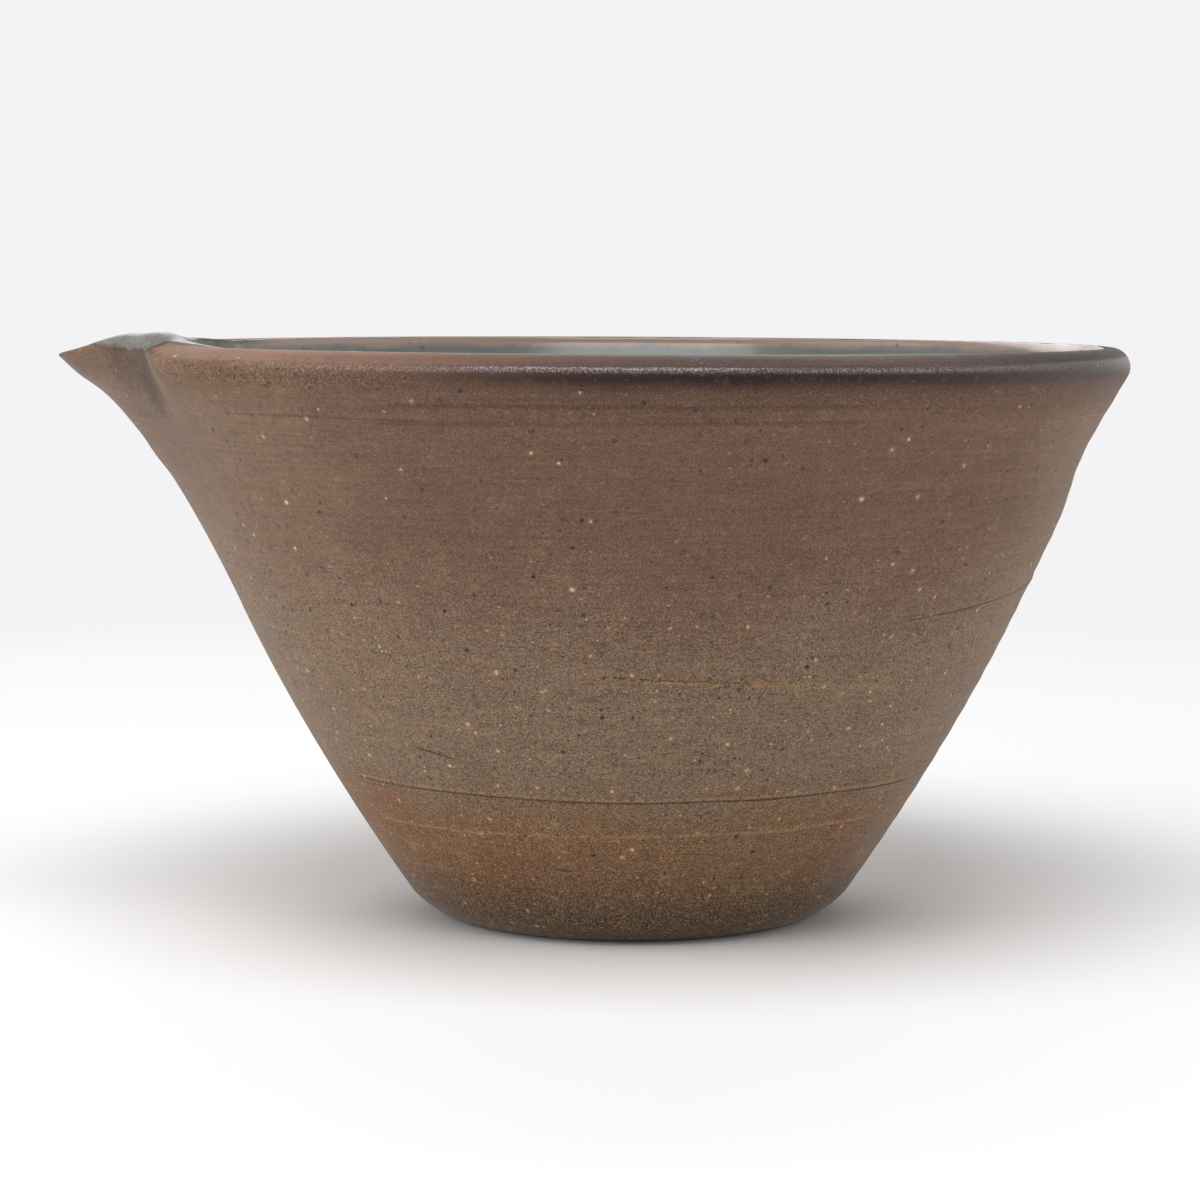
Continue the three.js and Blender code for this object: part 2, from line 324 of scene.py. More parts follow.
def solid_piece(name, patches, replaced, material, reads="leg"):
    """Closed piece from patches, each a grid of points in mm and a value for each of them, which
    the material reads. Points within 2 micrometres are merged and faces are turned outwards."""
    points, values, quads, count = [], [], [], 0
    for grid, grid_values in patches:
        rows, columns = grid.shape[:2]
        corner = count + (np.arange(rows - 1)[:, None] * columns + np.arange(columns - 1)).ravel()
        quads.append(np.column_stack([corner, corner + 1, corner + columns + 1, corner + columns]))
        points.append(grid.reshape(-1, 3))
        values.append(np.broadcast_to(grid_values, (rows, columns)).ravel())
        count += rows * columns
    mesh = bpy.data.meshes.new(name)
    mesh.from_pydata((np.concatenate(points) / 1000).tolist(), [], np.concatenate(quads).tolist())
    attribute = mesh.attributes.new(reads, "FLOAT", "POINT")
    attribute.data.foreach_set("value", np.concatenate(values).astype(np.float32))
    shape = bmesh.new()
    shape.from_mesh(mesh)
    bmesh.ops.remove_doubles(shape, verts=shape.verts, dist=2e-6)
    bmesh.ops.recalc_face_normals(shape, faces=shape.faces)
    shape.to_mesh(mesh)
    shape.free()
    mesh.shade_smooth()
    mesh.set_sharp_from_angle(angle=math.radians(50))
    mesh.materials.append(material)
    piece = bpy.data.objects.new(name, mesh)
    bpy.context.scene.collection.objects.link(piece)
    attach(piece, "root")
    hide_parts(replaced)
    return piece


def screen(red, green, blue):
    """Linear colour from the 0 to 255 values that a screen shows it with."""
    part = np.array([red, green, blue]) / 255
    linear = np.where(part <= 0.04045, part / 12.92, ((part + 0.055) / 1.055) ** 2.4)
    return (*linear.tolist(), 1.0)


def add_node(tree, kind, sockets, **settings):
    """New node with its settings, and its inputs, by name or number, set or linked."""
    node = tree.nodes.new(kind)
    for name, value in settings.items():
        setattr(node, name, value)
    for key, value in sockets.items():
        if isinstance(value, Wire):
            tree.links.new(value.socket, node.inputs[key])
        else:
            node.inputs[key].default_value = value
    return node


class Wire:
    """Output of a shader node. Each operator on it adds the Math node that works it out."""

    def __init__(self, socket):
        self.socket = socket
        self.tree = socket.id_data

    def maths(self, operation, *others, **settings):
        sockets = dict(enumerate((self, *others)))
        node = add_node(self.tree, "ShaderNodeMath", sockets, operation=operation, **settings)
        return Wire(node.outputs[0])

    def __add__(self, other):
        return self.maths("ADD", other)

    def __sub__(self, other):
        return self.maths("SUBTRACT", other)

    def __mul__(self, other):
        return self.maths("MULTIPLY", other)

    def __truediv__(self, other):
        return self.maths("DIVIDE", other)

    def size(self):
        return self.maths("ABSOLUTE")

    def share(self):
        return self.maths("MULTIPLY", 1.0, use_clamp=True)

    def rest(self):
        return self.maths("MULTIPLY_ADD", -1.0, 1.0, use_clamp=True)

    def step(self, low, high):
        """0 at low, 1 at high, and 3t^2 - 2t^3 between them. High may lie below low."""
        sockets = {0: self, 1: low, 2: high}
        node = add_node(self.tree, "ShaderNodeMapRange", sockets, interpolation_type="SMOOTHSTEP")
        return Wire(node.outputs[0])


def laid_over(under, colour, share, way="MIX"):
    """A colour laid over another one, by a share. Each of the three is a value or a wire."""
    tree = next(value.tree for value in (under, colour, share) if isinstance(value, Wire))
    sockets = {0: share, 6: under, 7: colour}
    node = add_node(tree, "ShaderNodeMix", sockets, data_type="RGBA", blend_type=way)
    return Wire(node.outputs[2])


def stored(tree, name):
    """Number that the mesh stores at its points under a name."""
    return Wire(add_node(tree, "ShaderNodeAttribute", {}, attribute_name=name).outputs["Fac"])


def stretched(place, factors):
    """Place with its three axes multiplied by three factors."""
    sockets = {0: place, 1: factors}
    node = add_node(place.tree, "ShaderNodeVectorMath", sockets, operation="MULTIPLY")
    return Wire(node.outputs[0])


def noise(place, size, detail=2.0, roughness=0.5):
    """Noise between 0 and 1, its blobs about size mm across: one number, or one for each axis."""
    sockets = {
        "Vector": stretched(place, np.broadcast_to(1 / np.array(size, float), 3).tolist()),
        "Scale": 1.0,
        "Detail": detail,
        "Roughness": roughness,
    }
    return Wire(add_node(place.tree, "ShaderNodeTexNoise", sockets).outputs[0])


def node_group(name, inputs, outputs):
    """New shader node group and the wires of its inputs. Each input has a kind and a value."""
    group = bpy.data.node_groups.new(name, "ShaderNodeTree")
    for title, (kind, value) in inputs.items():
        socket = group.interface.new_socket(title, in_out="INPUT", socket_type="NodeSocket" + kind)
        socket.default_value = value
    for title, kind in outputs.items():
        group.interface.new_socket(title, in_out="OUTPUT", socket_type="NodeSocket" + kind)
    entry = group.nodes.new("NodeGroupInput")
    return group, [Wire(entry.outputs[title]) for title in inputs]


def give_out(group, *results):
    """Link wires to a group's outputs, in their order."""
    end = group.nodes.new("NodeGroupOutput")
    for number, result in enumerate(results):
        group.links.new(result.socket, end.inputs[number])


def placed(tree, group, *values):
    """The group in a tree, with values or wires for its inputs. Returns its outputs as wires."""
    node = add_node(tree, "ShaderNodeGroup", {}, node_tree=group)
    for number, value in enumerate(values):
        if isinstance(value, Wire):
            tree.links.new(value.socket, node.inputs[number])
        else:
            node.inputs[number].default_value = value
    return [Wire(output) for output in node.outputs]


# Place on the bowl, read from Object coordinates, with two noises that several effects share
where, _ = node_group(
    "place on the bowl",
    {},
    {"Place": "Vector", "Angle": "Float", "Height": "Float", "Wander": "Float", "Grain": "Float"},
)
metres = Wire(where.nodes.new("ShaderNodeTexCoord").outputs["Object"])
scaled = add_node(where, "ShaderNodeVectorMath", {0: metres, "Scale": 1000.0}, operation="SCALE")
place = Wire(scaled.outputs[0])
parts = add_node(where, "ShaderNodeSeparateXYZ", {0: place})
x, y, height = (Wire(output) for output in parts.outputs)
angle = (y * -1).maths("ARCTAN2", x * -1) * math.degrees(1)
wander = noise(place, (30, 30, 12), detail=1.0) - 0.5
grain = noise(place, 0.42, detail=2.0, roughness=0.6)
give_out(where, place, angle, height, wander, grain)

# Specks: a grain sits at the middle of each cell of a 3D Voronoi pattern, and shows where the
# surface passes within its radius. Halo reaches twice as far. Tone and strength are two numbers
# from 0 to 1 that each grain has.
specks, (place, grain, spacing, radius, soft) = node_group(
    "specks",
    {
        "Place": ("Vector", (0, 0, 0)),
        "Grain": ("Float", 0.5),
        "Spacing": ("Float", 2.0),
        "Radius": ("Float", 0.3),
        "Soft": ("Float", 0.4),
    },
    {"Mask": "Float", "Halo": "Float", "Tone": "Float", "Strength": "Float"},
)
scale = spacing.maths("POWER", -1.0)
cells = add_node(specks, "ShaderNodeTexVoronoi", {"Vector": place, "Scale": scale})
chance = add_node(specks, "ShaderNodeSeparateColor", {0: Wire(cells.outputs["Color"])})
big, strong, tone = (Wire(output) for output in chance.outputs)
radius = radius * (big * big * 0.6 + 0.4)
distance = Wire(cells.outputs["Distance"]) * spacing + (grain - 0.5) * radius * 2.6
mask = distance.step(radius, radius * (soft * -1 + 1))
give_out(specks, mask, distance.step(radius * 2.2, radius * 0.8), tone, strong)

# Drag line: a band of a half width along a line that runs evenly from one height to another
# between two angles. It wanders a little, fades at its ends, and is broken up by the grain.
drag_line, (angle, height, wander, grain, start, end, first, last, half_width, broken) = node_group(
    "drag line",
    {
        "Angle": ("Float", 0.0),
        "Height": ("Float", 0.0),
        "Wander": ("Float", 0.0),
        "Grain": ("Float", 0.5),
        "Start": ("Float", 0.0),
        "End": ("Float", 90.0),
        "Start height": ("Float", 50.0),
        "End height": ("Float", 50.0),
        "Half width": ("Float", 0.3),
        "Broken": ("Float", 0.0),
    },
    {"Mask": "Float"},
)
along = (angle - start) / (end - start)
line_height = first + (last - first) * along.share() + wander * 1.2
aside = (height - line_height).size() + (grain - 0.5) * half_width * 1.5
ends = (angle - start).step(0.0, 2.5) * (end - angle).step(0.0, 2.5)
gaps = (grain - broken * 0.5).step(-0.02, 0.08)
give_out(drag_line, aside.step(half_width, half_width * 0.2) * ends * gaps)

# Bare stoneware: clay colour with mottling, streaks from throwing, iron spots, pale and ochre
# grog and pits, and painted shade beside the spout. Gritty is how much the tool has laid the grit
# bare.
bare_clay, (place, angle, height, grain, colour, gritty, iron) = node_group(
    "bare stoneware",
    {
        "Place": ("Vector", (0, 0, 0)),
        "Angle": ("Float", 0.0),
        "Height": ("Float", 0.0),
        "Grain": ("Float", 0.5),
        "Colour": ("Color", (0.2, 0.15, 0.1, 1)),
        "Gritty": ("Float", 0.5),
        "Iron": ("Float", 0.5),
    },
    {"Colour": "Color", "Roughness": "Float", "Relief": "Float"},
)
ochre, cream, gold = screen(172, 128, 80), screen(222, 204, 178), screen(158, 136, 95)
pale_grain, brick, soot = screen(160, 140, 117), screen(150, 96, 72), screen(86, 80, 76)
# The last three colours are painted shade beside the spout
blue_black, pit_brown, painted_hollow_shade = screen(40, 38, 42), screen(46, 34, 28), screen(66, 50, 40)
painted_joint_shade, painted_crease_shade = screen(84, 66, 54), screen(72, 54, 43)

streaks = noise(place, (26, 26, 0.5), detail=2.0, roughness=0.6)
mottle = noise(place, (6, 6, 3), detail=3.0, roughness=0.65)
sand = noise(place, 0.26, detail=1.0, roughness=0.6)
patches = noise(place, (1.5, 1.5, 0.9), detail=2.0, roughness=0.6)
light = (grain - 0.5) * (gritty * 0.75 + 0.5) + (sand - 0.5) * (gritty * 0.95 + 0.5)
light = light + (streaks - 0.5) * 0.45 + (mottle - 0.5) * 0.3 + (patches - 0.5) * 0.3 + 0.88
bright = add_node(bare_clay, "ShaderNodeCombineColor", {0: light, 1: light, 2: light})
colour = laid_over(colour, Wire(bright.outputs[0]), 1.0, "MULTIPLY")
colour = laid_over(colour, soot, (patches + mottle).step(0.9, 0.7) * (iron * 0.35))
colour = laid_over(colour, pale_grain, sand.step(0.53, 0.65) * (gritty * 0.75 + 0.02))
clusters = (patches + mottle).step(1.1, 1.3) * sand.step(0.42, 0.55) * gritty
colour = laid_over(colour, gold, clusters * 0.8)

# Fine grit in flattened cells, then coarser spots, which are iron, grog, brick or pits
grit, _, tone, _ = placed(bare_clay, specks, stretched(place, (1, 1, 1.6)), grain, 0.95, 0.36, 0.5)
colour = laid_over(colour, ochre, grit * tone.step(0.7, 0.76) * (gritty * 0.75 + 0.1))
colour = laid_over(colour, cream, grit * tone.step(0.94, 0.96) * (gritty * 0.5 + 0.05))
colour = laid_over(colour, pit_brown, grit * tone.step(0.24, 0.18) * (gritty * 0.55 + 0.25))
spot, halo, tone, strong = placed(bare_clay, specks, place, grain, 1.6, 0.5, 0.45)
is_iron = (tone - iron * 0.32).step(0.01, -0.01)
is_grog = (tone + gritty * 0.16).step(0.97, 0.99)
is_brick = is_grog * strong.step(0.2, 0.16)
is_pit = (tone - iron * 0.32 - gritty * 0.08).step(0.02, 0.01) - is_iron
colour = laid_over(colour, soot, halo * is_iron * 0.4)
colour = laid_over(colour, blue_black, spot * is_iron * (strong * 0.6 + 0.3))
colour = laid_over(colour, ochre, halo * is_grog * (strong * 0.6))
colour = laid_over(colour, cream, spot.step(0.3, 0.8) * is_grog * (strong * 0.6 + 0.15))
colour = laid_over(colour, brick, spot * is_brick)
colour = laid_over(colour, pit_brown, spot * is_pit * 0.85)

# Painted shade: the clay is painted darker in the hollow where the rolled rim stops beside the
# spout, in a patch round it and in the crease above it
away = angle.size()
off_middle, off_level = (away - 18.2) / 2.6, (height - 95.3) / 5.0
hollow = (off_middle * off_middle + off_level * off_level + (grain - 0.5)).step(1.1, 0.0)
shade = away.step(19, 24) * away.step(34, 27) * height.step(78, 88) * height.step(101, 96)
crease = away.step(23.5, 20.8) * height.step(93.5, 96.5) * away.step(17.5, 19)
colour = laid_over(colour, painted_hollow_shade, hollow * 0.6)
colour = laid_over(colour, painted_joint_shade, shade * 0.26)
colour = laid_over(colour, painted_crease_shade, crease * 0.5)
rough = spot * is_iron * -0.25 + 0.86 + (mottle - 0.5) * 0.1
relief = grain * 0.08 + sand * 0.04 + streaks * 0.05 - spot * is_pit * 0.25
give_out(bare_clay, colour, rough, relief)


def clay_material(name):
    """New material of bare clay, its shader and the place on the bowl as wires. A little sheen
    stands for the dust that softens it at a grazing angle."""
    material = bpy.data.materials.new(name)
    material.use_nodes = True
    shader = material.node_tree.nodes["Principled BSDF"]
    shader.inputs["Specular IOR Level"].default_value = 0.2
    shader.inputs["Sheen Weight"].default_value = 0.28
    shader.inputs["Sheen Roughness"].default_value = 0.35
    shader.inputs["Sheen Tint"].default_value = (1, 0.94, 0.88, 1)
    return material, shader, placed(material.node_tree, where)


def lay_on(shader, colour, roughness, relief):
    """Link colour, roughness and a relief in mm to a shader."""
    tree = colour.tree
    sockets = {"Height": relief, "Distance": 0.001, "Strength": 1.0}
    bump = Wire(add_node(tree, "ShaderNodeBump", sockets).outputs[0])
    for title, wire in (("Base Color", colour), ("Roughness", roughness), ("Normal", bump)):
        tree.links.new(wire.socket, shader.inputs[title])


# Colours of the fired clay from the wall to the rim, of the grit and the drag lines, of the
# painted shade at the foot and of the painted highlight along the rim's corner
fired_brown, olive_grey, rust = screen(121, 92, 76), screen(129, 107, 88), screen(129, 91, 59)
tan, ash_grey, painted_foot_shade = screen(126, 83, 46), screen(132, 107, 87), screen(80, 62, 48)
rim_tan, orange_flash, scorched = screen(121, 91, 67), screen(142, 107, 88), screen(42, 23, 18)
purple_grey, bevel_black, far_soot = screen(76, 64, 63), screen(28, 21, 20), screen(46, 36, 37)
burnt_brown, drag_brown, dragged_grog = screen(56, 38, 31), screen(48, 32, 26), screen(172, 132, 88)
grey_pepper, black_pepper, painted_glint_grey = screen(96, 80, 78), screen(44, 34, 33), screen(164, 146, 144)
dark_pepper, pale_pepper = screen(50, 38, 31), screen(182, 146, 108)

stoneware, shader, (place, angle, height, wander, grain) = clay_material("stoneware")
tree = stoneware.node_tree
leg = stored(tree, "leg")
away = angle.size()
broad = noise(place, 22, detail=3.0) - 0.5
around = away + broad * 40
level = height + broad * 22
upper = (level + broad * 16).step(42, 76)
lower = level.step(33, 20) * (around.step(150, 80) * 0.35 + 0.65)
colour = laid_over(olive_grey, fired_brown, upper)
colour = laid_over(colour, rust, lower * 0.9)
sides = around.step(72, 50) + around.step(118, 140)
colour = laid_over(colour, tan, level.step(38, 20) * sides.share() * 0.85)
flank = around.step(62, 44) * level.step(30, 46) + around.step(135, 156) * height.step(99, 90)
colour = laid_over(colour, ash_grey, flank.share() * 0.85)
# Painted shade: darker towards the foot, for the contact shade where the bowl meets the table
colour = laid_over(colour, painted_foot_shade, height.step(17, 3) * 0.85)

# The rim: flashed orange on the left, and scorched from the front round to the right
at_rim = leg.step(3.75, 4.0) * leg.step(5.45, 5.3)
on_bevel = leg.step(4.5, 4.62) * leg.step(5.45, 5.3)
back = Wire(add_node(tree, "ShaderNodeSeparateXYZ", {0: place}).outputs["Y"]).step(15, 50)
fired_hard = (away + wander * 14).step(46, 96) * (back * -0.7 + 1)
right_side = away.step(112, 150)
colour = laid_over(colour, rim_tan, at_rim * flank.share())
colour = laid_over(colour, orange_flash, on_bevel)
band = (height + wander * 2.5).step(96.8, 100.3)
under_band = (height + wander * 5).step(90.5, 99.0) * fired_hard * on_bevel.rest()
dark = (band * fired_hard * (on_bevel * (right_side * 0.18 + -0.2) + 1.0)).share()
face_burn = laid_over(scorched, purple_grey, right_side)
bevel_burn = laid_over(scorched, bevel_black, right_side)
colour = laid_over(colour, burnt_brown, under_band * 0.35)
colour = laid_over(colour, laid_over(face_burn, bevel_burn, on_bevel), dark)
far_right = away.step(138, 166) * (back * -1 + 1)
colour = laid_over(colour, far_soot, band * far_right * 0.45)
speckled = (height + wander * 3).step(97.0, 99.2) * on_bevel.rest() * fired_hard.step(0.5, 0.0)
peppered, _, tone, _ = placed(tree, specks, place, grain, 0.45, 0.34, 0.6)
left_pepper, right_pepper = peppered * speckled, peppered * band * fired_hard
colour = laid_over(colour, dark_pepper, left_pepper * tone.step(0.46, 0.38) * 0.75)
colour = laid_over(colour, pale_pepper, left_pepper * tone.step(0.66, 0.76) * 0.7)
colour = laid_over(colour, grey_pepper, right_pepper * right_side * tone.step(0.55, 0.7) * 0.4)
colour = laid_over(colour, black_pepper, right_pepper * tone.step(0.35, 0.25) * 0.3)

gritty = (level.step(80, 48) * 0.75 + 0.25 + band * -0.3 + speckled * 0.45).share()
iron = level.step(30, 60) * 0.3 + 0.4
colour, rough, relief = placed(tree, bare_clay, place, angle, height, grain, colour, gritty, iron)

# Marks left by the turning tool and by grit under it: from and to an angle, height at both ends,
# half width, how broken up it is, depth and how much its colour shows. Dragged grog stands proud.
tool_marks = (
    (30, 152, 28.4, 27.7, 0.28, 0.45, 0.12, 0.65),
    (83, 115, 29.1, 28.8, 0.15, 0.9, 0.05, 0.45),
    (129, 166, 58.5, 61.6, 0.26, 0.2, 0.1, 0.55),
    (51, 61, 36.6, 34.5, 0.3, 0.2, 0.15, 0.7),
    (82.5, 108, 50.6, 49.0, 0.3, 0.75, 0.12, 0.85),
    (108, 131, 49.0, 47.0, 0.2, 0.95, 0.08, 0.7),
    (98, 108.5, 17.9, 17.5, 0.2, 0.2, 0.08, 0.55),
    (113, 117.5, 44.7, 44.4, 0.2, 0.0, 0.1, 0.6),
    (73.5, 78.5, 15.1, 14.6, 0.34, 0.2, 0.2, 0.85),
    (68, 70.2, 15.9, 15.8, 0.5, 0.0, 0.25, 0.9),
    (102.4, 104.4, 56.9, 56.4, 0.32, 0.0, 0.15, 0.8),
    (38, 68, 93.3, 92.9, 0.24, 0.1, 0.03, 0.35),
    (62, 116, 95.3, 95.2, 0.6, 0.1, 0.02, 0.28),
    (60, 116, 92.3, 92.9, 0.55, 0.1, 0.02, 0.24),
    (60, 96, 74.2, 73.9, 0.3, 0.3, 0.02, 0.15),
    (-172, -52, 28.0, 28.4, 0.34, 0.2, 0.12, 0.7),
    (-150, -40, 47.2, 49.5, 0.24, 0.7, 0.08, 0.5),
    (-120, -66, 71.0, 70.2, 0.22, 0.3, 0.05, 0.4),
)
grog_marks = (
    (29, 145, 20.8, 21.9, 0.55, 0.93, -0.03, 0.75),
    (81, 134, 50.7, 46.8, 0.85, 0.95, -0.03, 0.75),
    (30, 152, 28.9, 28.2, 0.5, 0.95, -0.03, 0.8),
    (-140, -50, 22.0, 21.2, 0.7, 1.02, -0.03, 0.5),
)
for marks, mark_colour in ((tool_marks, drag_brown), (grog_marks, dragged_grog)):
    for start, end, first, last, half_width, broken, depth, strength in marks:
        shape = (start, end, first, last, half_width, broken)
        (mask,) = placed(tree, drag_line, angle, height, wander, grain, *shape)
        colour = laid_over(colour, mark_colour, mask * strength)
        relief = relief - mask * depth

# The hard-fired rim is smoother, with a glassy coat along its corner and a pale painted highlight
# laid along that line
rough = rough - band * fired_hard * (right_side * on_bevel * -0.4 + 0.3)
sparkle = noise(place, 0.26, detail=1.0).step(0.42, 0.66)
line_end = (away + wander * 20).step(36, 74) * (right_side * -0.9 + 1)
# Painted highlight: a pale, broken line painted along the rim's corner, beside the real gloss of
# its coat
painted_glint_line = leg.step(4.32, 4.42) * leg.step(4.57, 4.46) * line_end
colour = laid_over(colour, painted_glint_grey, painted_glint_line * (sparkle * 0.5 + 0.1))
corner = leg.step(4.24, 4.35) * leg.step(4.67, 4.5)
coat = corner * (fired_hard + line_end * 0.6).share() * (sparkle * 0.7 + 0.15)
coat = coat * (right_side * -0.8 + 1.0)
tree.links.new(coat.share().socket, shader.inputs["Coat Weight"])
shader.inputs["Coat Roughness"].default_value = 0.16
lay_on(shader, colour, rough, relief)

# Rows of the mesh from the base up and over into the hollow, closest at the groove and the rim.
# Its columns run round from one side of the cut to the other, and lean aside to meet its edges.
lower_legs = np.concatenate([np.linspace(0, 1, 5)[:-1], np.linspace(1, 2, 11)[:-1]])
outside_legs, inside_legs = cut_rows()
above_groove, below_groove = (leg_at(groove_height + aside, 2, 3) for aside in (1.1, -1.1))
wall_legs = np.concatenate(
    [
        np.linspace(2, below_groove, 27)[:-1],
        np.linspace(below_groove, above_groove, 17)[:-1],
        np.linspace(above_groove, outside_legs[0], 35)[:-1],
    ]
)
floor_legs = np.concatenate(
    [
        np.linspace(inside_legs[0], 8, 24)[1:],
        np.linspace(8, 9, 9)[1:],
        np.linspace(9, 10, 5)[1:],
    ]
)
rim_to_floor = [inside_legs[::-1][1:], floor_legs]
body_legs = np.concatenate([lower_legs, wall_legs, outside_legs, *rim_to_floor])[:, None]
half = np.linspace(0, 180, 181)
half_turn = half + joint_angle(body_legs, body_edge) * np.clip(1 - half / 60, 0, 1) ** 2
full_turn = np.concatenate([half_turn, 360 - half_turn[:, -2::-1]], axis=1)
body_patches = [(clay_place(body_legs, full_turn), body_legs)]
body_patches += [cut_face(body_edge, side) for side in (1, -1)]
solid_piece("bowl_clay", body_patches, "bowl_body", stoneware)

# Pouring spout: a lip pulled from a flap of the same clay, thinned to a knife edge at its tip and
# set into the cut. It stood clear of the wall in the fire, which flashed its edge orange.
spout_brown, flashed_edge, edge_shade = screen(120, 97, 82), screen(124, 92, 71), screen(78, 58, 47)

flashed, shader, (place, angle, height, wander, grain) = clay_material("flashed_stoneware")
tree = flashed.node_tree
leg = stored(tree, "leg")
away = angle.size()
edge = (leg + wander * 0.5).step(3.88, 4.15) * away.step(14, 9)
colour = laid_over(spout_brown, flashed_edge, edge * 0.8)
under_glaze = (leg + (grain - 0.5) * 0.3).step(3.55, 3.95) * away.step(9, 13)
colour = laid_over(colour, edge_shade, under_glaze * 0.6)
colour = laid_over(colour, ash_grey, (height + wander * 6).step(90, 68) * 0.85)
gritty = (height + wander * 6).step(80, 52) * 0.6 + 0.3
colour, rough, relief = placed(tree, bare_clay, place, angle, height, grain, colour, gritty, 0.4)
lay_on(shader, colour, rough, relief)

spout_legs = np.concatenate([outside_legs[1:], inside_legs[:0:-1][1:]])[:, None]
across = joint_angle(spout_legs, seam) * np.linspace(-1, 1, 91)
spout_patches = [(clay_place(spout_legs, across), spout_legs)]
spout_patches += [cut_face(seam, side, 1) for side in (1, -1)]
solid_piece("spout_clay", spout_patches, "pouring_spout", flashed)

# Luting slip: liquid clay brushed into the cut, which holds the spout in the wall and was wiped
# level with both. It runs up both flanks and under the spout.
slip_brown = screen(94, 73, 60)

dried_slip, shader, (place, angle, height, wander, grain) = clay_material("dried_slip")
tree = dried_slip.node_tree
colour = laid_over(slip_brown, ash_grey, height.step(97, 88) * 0.75)
gritty = height.step(80, 52) * 0.5 + 0.3
colour, rough, relief = placed(tree, bare_clay, place, angle, height, grain, colour, gritty, 0.3)
lay_on(shader, colour, rough, relief)

slip_legs = np.concatenate([outside_legs, inside_legs[::-1][1:]])[:, None]
inner_edge, outer_edge = joint_angle(slip_legs, seam), joint_angle(slip_legs, body_edge)
slip_angle = inner_edge + (outer_edge - inner_edge) * np.linspace(0, 1, 4)
slip_patches = []
for side in (1, -1):
    slip_patches.append((clay_place(slip_legs, side * slip_angle), slip_legs))
    slip_patches += [cut_face(seam, side, 1), cut_face(body_edge, side)]
solid_piece("slip_band", slip_patches, "luting_slip", dried_slip)

# Glaze: one glassy coat of ash glaze, poured in and swilled round. It covers the floor and the
# wall's inner face, thins to brown at its edge below the crest, and runs over both sides of the
# lip, where it has crept a little way down the outside.
glaze_thickness = 0.45
glaze_sunk = 0.02
taper_start = 0.45
glaze_grey, glaze_teal, pooled = screen(118, 118, 113), screen(88, 94, 91), screen(82, 93, 88)
lip_grey, crease_dark, crease_pale = screen(103, 100, 92), screen(66, 58, 50), screen(150, 150, 142)
thin_brown, fringe_brown = screen(150, 126, 112), screen(74, 56, 44)
fleck_grey, blot_brown = screen(58, 54, 50), screen(56, 48, 42)

ash_glaze = bpy.data.materials.new("ash_glaze")
ash_glaze.use_nodes = True
tree = ash_glaze.node_tree
shader = tree.nodes["Principled BSDF"]
place, angle, height, wander, grain = placed(tree, where)
inwards = stored(tree, "inwards")
runs = noise(place, (3.0, 3.0, 9.0), detail=2.0) - 0.5
clouds = noise(place, 14, detail=3.0)
colour = laid_over(glaze_teal, glaze_grey, clouds.step(0.3, 0.7) * 0.4)
colour = laid_over(colour, pooled, height.step(26, 9) * 0.6)
on_lip = angle.size().step(33, 27) * height.step(92, 97)
creases = noise(place, (2.6, 2.6, 1.1), detail=3.0, roughness=0.65)
colour = laid_over(colour, lip_grey, on_lip)
colour = laid_over(colour, crease_dark, on_lip * creases.step(0.5, 0.3) * 0.5)
colour = laid_over(colour, crease_pale, on_lip * creases.step(0.55, 0.75) * 0.45)
fringe = (inwards + (creases - 0.5) * 2.0).step(0.9, 0.2) * on_lip
colour = laid_over(colour, fringe_brown, fringe * 0.75)
thin = (inwards + runs * 1.2 + (clouds - 0.5) * 3.0).step(2.8, 1.0) * on_lip.rest()
colour = laid_over(colour, thin_brown, thin * 0.9)
flecks, _, tone, _ = placed(tree, specks, place, grain, 1.1, 0.42, 0.7)
flecks = flecks * (tone - on_lip * 0.3).step(0.22, 0.18)
colour = laid_over(colour, fleck_grey, flecks * 0.6)
blots, _, tone, _ = placed(tree, specks, place, grain, 2.6, 0.8, 0.7)
blots = blots * tone.step(0.32, 0.28)
colour = laid_over(colour, blot_brown, blots * 0.6)
rough = flecks * 0.1 + 0.2 + on_lip * 0.12
waves = noise(place, (7, 7, 12), detail=1.0) * 0.12 + grain * 0.006
waves = waves + creases * on_lip * 0.25
lay_on(shader, colour, rough, waves + blots * 0.02)

# Leg of the section at which the coat ends, against the angle from the middle of the spout: just
# inside the crest all round and at the tip, and over the edge on both sides of the lip
glaze_turn = np.concatenate([np.linspace(-32, 32, 193), np.linspace(32, 328, 247)[1:]])
signed = (glaze_turn + 180) % 360 - 180
near_edge = np.interp(
    signed,
    [0, 6, 8, 10, 12, 14, 20, 21, 22, 23, 24, 25, 28, 30, 33, 36],
    [5.3, 5.15, 4.95, 4.29, 4.07, 3.995, 3.99, 4.06, 4.25, 4.4, 4.78, 4.86, 4.93, 5.0, 5.2, 5.36],
)
near_edge = near_edge - 0.03 * hump(signed, 16.4, 0.6) - 0.015 * hump(signed, 13, 0.5)
far_edge = np.interp(
    -signed,
    [0, 6, 8, 10, 12, 15, 16.5, 18, 20, 24],
    [5.3, 5.15, 4.95, 4.29, 4.02, 4.0, 4.4, 4.8, 5.2, 5.36],
)
edge_leg = np.where(signed > 0, near_edge, far_edge)
smoothing = hump(np.arange(-6, 7), 0, 2)
padded = np.concatenate([edge_leg[-7:-1], edge_leg, edge_leg[1:7]])
edge_leg = np.convolve(padded, smoothing / smoothing.sum(), "valid")
turning = np.radians(glaze_turn)
ripple = 0.6 * np.sin(turning * 11) + 0.4 * np.sin(turning * 29 + 1) + 0.4 * np.sin(turning * 67)
edge_leg = edge_leg + ripple * (0.008 + 0.045 * smoothstep(edge_leg, 4.9, 5.4))
edge_leg[-1] = edge_leg[0]
hollow_legs = [np.linspace(10, 9, 8)[:-1], np.linspace(9, 8, 12)[:-1]]
